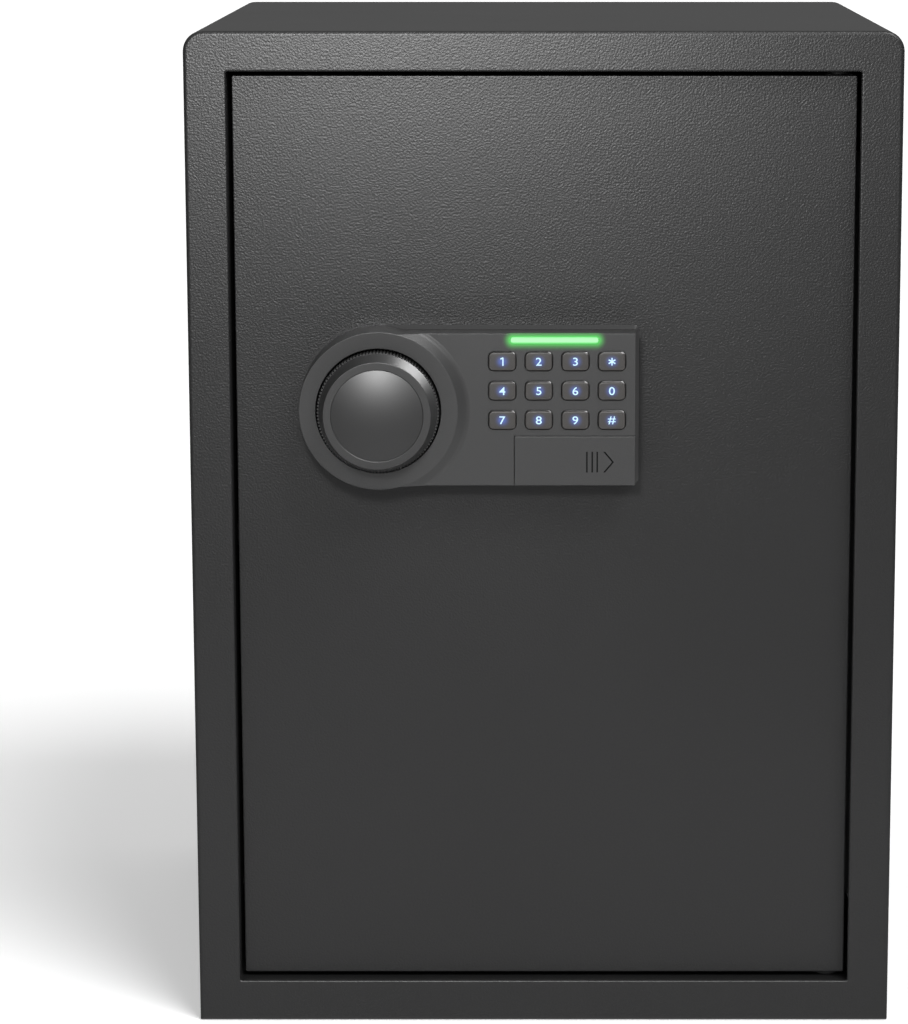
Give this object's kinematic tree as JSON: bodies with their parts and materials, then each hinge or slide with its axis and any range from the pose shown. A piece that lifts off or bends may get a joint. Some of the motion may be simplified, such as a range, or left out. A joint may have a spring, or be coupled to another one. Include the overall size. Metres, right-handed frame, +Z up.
{
  "type": "electronic home safe",
  "caption": "Upright sheet-steel home safe: inset hinged door, turning knob that throws side bolts, back-lit keypad, sliding key cover and lift-out shelf",
  "frame": {"origin": "middle of the underside of the cabinet, in the plane it stands on", "axes": "+Z up, +Y from the door towards the back, +X to the right as seen from the front"},
  "size_m": [0.35, 0.3622, 0.5],
  "materials": {
    "powder_coat": "fine textured matt black powder coat on sheet steel",
    "black_plastic": "satin black moulded ABS",
    "key_plastic": "dark warm grey silicone keys with back-lit legends",
    "light_lens": "translucent status light, lit green",
    "board": "green glass-fibre circuit board",
    "rubber": "black rubber",
    "felt": "dark grey needled felt",
    "zinc_steel": "zinc-plated steel",
    "bright_steel": "bright turned steel",
    "brass": "machined brass",
    "battery_wrap": "printed plastic sleeve on steel cans",
    "red_plastic": "red push button"
  },
  "bodies": {
    "cabinet": {"cabinet_shell": "powder_coat", "front_frame": "powder_coat", "back_panel": "powder_coat", "floor_plate": "powder_coat", "floor_mat": "felt", "floor_anchor_plug_left": "rubber", "floor_anchor_plug_right": "rubber", "back_anchor_plug_left": "rubber", "back_anchor_plug_right": "rubber", "upper_hinge_bush": "black_plastic", "lower_hinge_bush": "black_plastic", "shelf_ledge_left": "powder_coat", "shelf_ledge_right": "powder_coat"},
    "shelf": {"shelf": "powder_coat"},
    "door": {"door_plate": "powder_coat", "door_inner_cover": "powder_coat", "cover_screw_1": "zinc_steel", "cover_screw_2": "zinc_steel", "cover_screw_3": "zinc_steel", "cover_screw_4": "zinc_steel", "upper_hinge_pin": "bright_steel", "lower_hinge_pin": "bright_steel", "hinge_side_dead_bar": "powder_coat", "upper_bolt_guide": "zinc_steel", "lower_bolt_guide": "zinc_steel", "lock_housing": "black_plastic", "light_bar": "light_lens", "circuit_board": "board", "lock_cable": "rubber", "solenoid_body": "zinc_steel", "plunger_spring": "bright_steel", "key_cylinder": "bright_steel", "battery_box": "black_plastic", "battery_1": "battery_wrap", "battery_2": "battery_wrap", "battery_3": "battery_wrap", "battery_4": "battery_wrap"},
    "knob": {"knob": "black_plastic", "knob_spindle": "bright_steel", "bolt_cam": "zinc_steel"},
    "bolts": {"bolt_carrier": "zinc_steel", "upper_bolt": "bright_steel", "lower_bolt": "bright_steel"},
    "plunger": {"solenoid_plunger": "bright_steel"},
    "key_plug": {"key_plug": "brass"},
    "key_cover": {"key_cover": "black_plastic"},
    "battery_cover": {"battery_cover": "black_plastic"},
    "reset_button": {"reset_button": "red_plastic"},
    "key_1": {"key_1": "key_plastic"},
    "key_2": {"key_2": "key_plastic"},
    "key_3": {"key_3": "key_plastic"},
    "key_star": {"key_star": "key_plastic"},
    "key_4": {"key_4": "key_plastic"},
    "key_5": {"key_5": "key_plastic"},
    "key_6": {"key_6": "key_plastic"},
    "key_0": {"key_0": "key_plastic"},
    "key_7": {"key_7": "key_plastic"},
    "key_8": {"key_8": "key_plastic"},
    "key_9": {"key_9": "key_plastic"},
    "key_hash": {"key_hash": "key_plastic"}
  },
  "joints": [
    {"name": "door_hinge", "type": "hinge", "parent": "cabinet", "child": "door", "pos_m": [0.1445, -0.148, 0], "axis": [0, 0, 1], "range_deg": [0, 90]},
    {"name": "shelf_lift", "type": "slide", "parent": "cabinet", "child": "shelf", "axis": [0, 0, 1], "range_m": [0, 0.15]},
    {"name": "knob_turn", "type": "hinge", "parent": "door", "child": "knob", "pos_m": [-0.081, -0.195, 0.3161], "axis": [0, -1, 0], "range_deg": [0, 90]},
    {"name": "bolt_slide", "type": "slide", "parent": "door", "child": "bolts", "axis": [-1, 0, 0], "range_m": [0, 0.01698]},
    {"name": "plunger_slide", "type": "slide", "parent": "door", "child": "plunger", "axis": [0, 0, 1], "range_m": [0, 0.0055], "deforming": ["plunger_spring"]},
    {"name": "key_turn", "type": "hinge", "parent": "door", "child": "key_plug", "pos_m": [0.012, -0.1717, 0.2907], "axis": [0, -1, 0], "range_deg": [0, 90]},
    {"name": "cover_slide", "type": "slide", "parent": "door", "child": "key_cover", "axis": [1, 0, 0], "range_m": [0, 0.058]},
    {"name": "battery_cover_slide", "type": "slide", "parent": "door", "child": "battery_cover", "axis": [0, 0, -1], "range_m": [0, 0.066]},
    {"name": "reset_press", "type": "slide", "parent": "door", "child": "reset_button", "axis": [-1, 0, 0], "range_m": [0, 0.0015], "stiffness_N_per_m": 300, "springref_m": -0.0005},
    {"name": "key_1_press", "type": "slide", "parent": "door", "child": "key_1", "axis": [0, 1, 0], "range_m": [0, 0.001], "stiffness_N_per_m": 300, "springref_m": -0.0005},
    {"name": "key_2_press", "type": "slide", "parent": "door", "child": "key_2", "axis": [0, 1, 0], "range_m": [0, 0.001], "stiffness_N_per_m": 300, "springref_m": -0.0005},
    {"name": "key_3_press", "type": "slide", "parent": "door", "child": "key_3", "axis": [0, 1, 0], "range_m": [0, 0.001], "stiffness_N_per_m": 300, "springref_m": -0.0005},
    {"name": "key_star_press", "type": "slide", "parent": "door", "child": "key_star", "axis": [0, 1, 0], "range_m": [0, 0.001], "stiffness_N_per_m": 300, "springref_m": -0.0005},
    {"name": "key_4_press", "type": "slide", "parent": "door", "child": "key_4", "axis": [0, 1, 0], "range_m": [0, 0.001], "stiffness_N_per_m": 300, "springref_m": -0.0005},
    {"name": "key_5_press", "type": "slide", "parent": "door", "child": "key_5", "axis": [0, 1, 0], "range_m": [0, 0.001], "stiffness_N_per_m": 300, "springref_m": -0.0005},
    {"name": "key_6_press", "type": "slide", "parent": "door", "child": "key_6", "axis": [0, 1, 0], "range_m": [0, 0.001], "stiffness_N_per_m": 300, "springref_m": -0.0005},
    {"name": "key_0_press", "type": "slide", "parent": "door", "child": "key_0", "axis": [0, 1, 0], "range_m": [0, 0.001], "stiffness_N_per_m": 300, "springref_m": -0.0005},
    {"name": "key_7_press", "type": "slide", "parent": "door", "child": "key_7", "axis": [0, 1, 0], "range_m": [0, 0.001], "stiffness_N_per_m": 300, "springref_m": -0.0005},
    {"name": "key_8_press", "type": "slide", "parent": "door", "child": "key_8", "axis": [0, 1, 0], "range_m": [0, 0.001], "stiffness_N_per_m": 300, "springref_m": -0.0005},
    {"name": "key_9_press", "type": "slide", "parent": "door", "child": "key_9", "axis": [0, 1, 0], "range_m": [0, 0.001], "stiffness_N_per_m": 300, "springref_m": -0.0005},
    {"name": "key_hash_press", "type": "slide", "parent": "door", "child": "key_hash", "axis": [0, 1, 0], "range_m": [0, 0.001], "stiffness_N_per_m": 300, "springref_m": -0.0005}
  ],
  "couplings": [
    {"joint": "bolt_slide", "follows": "knob_turn", "m_per_rad": 0.010804}
  ]
}
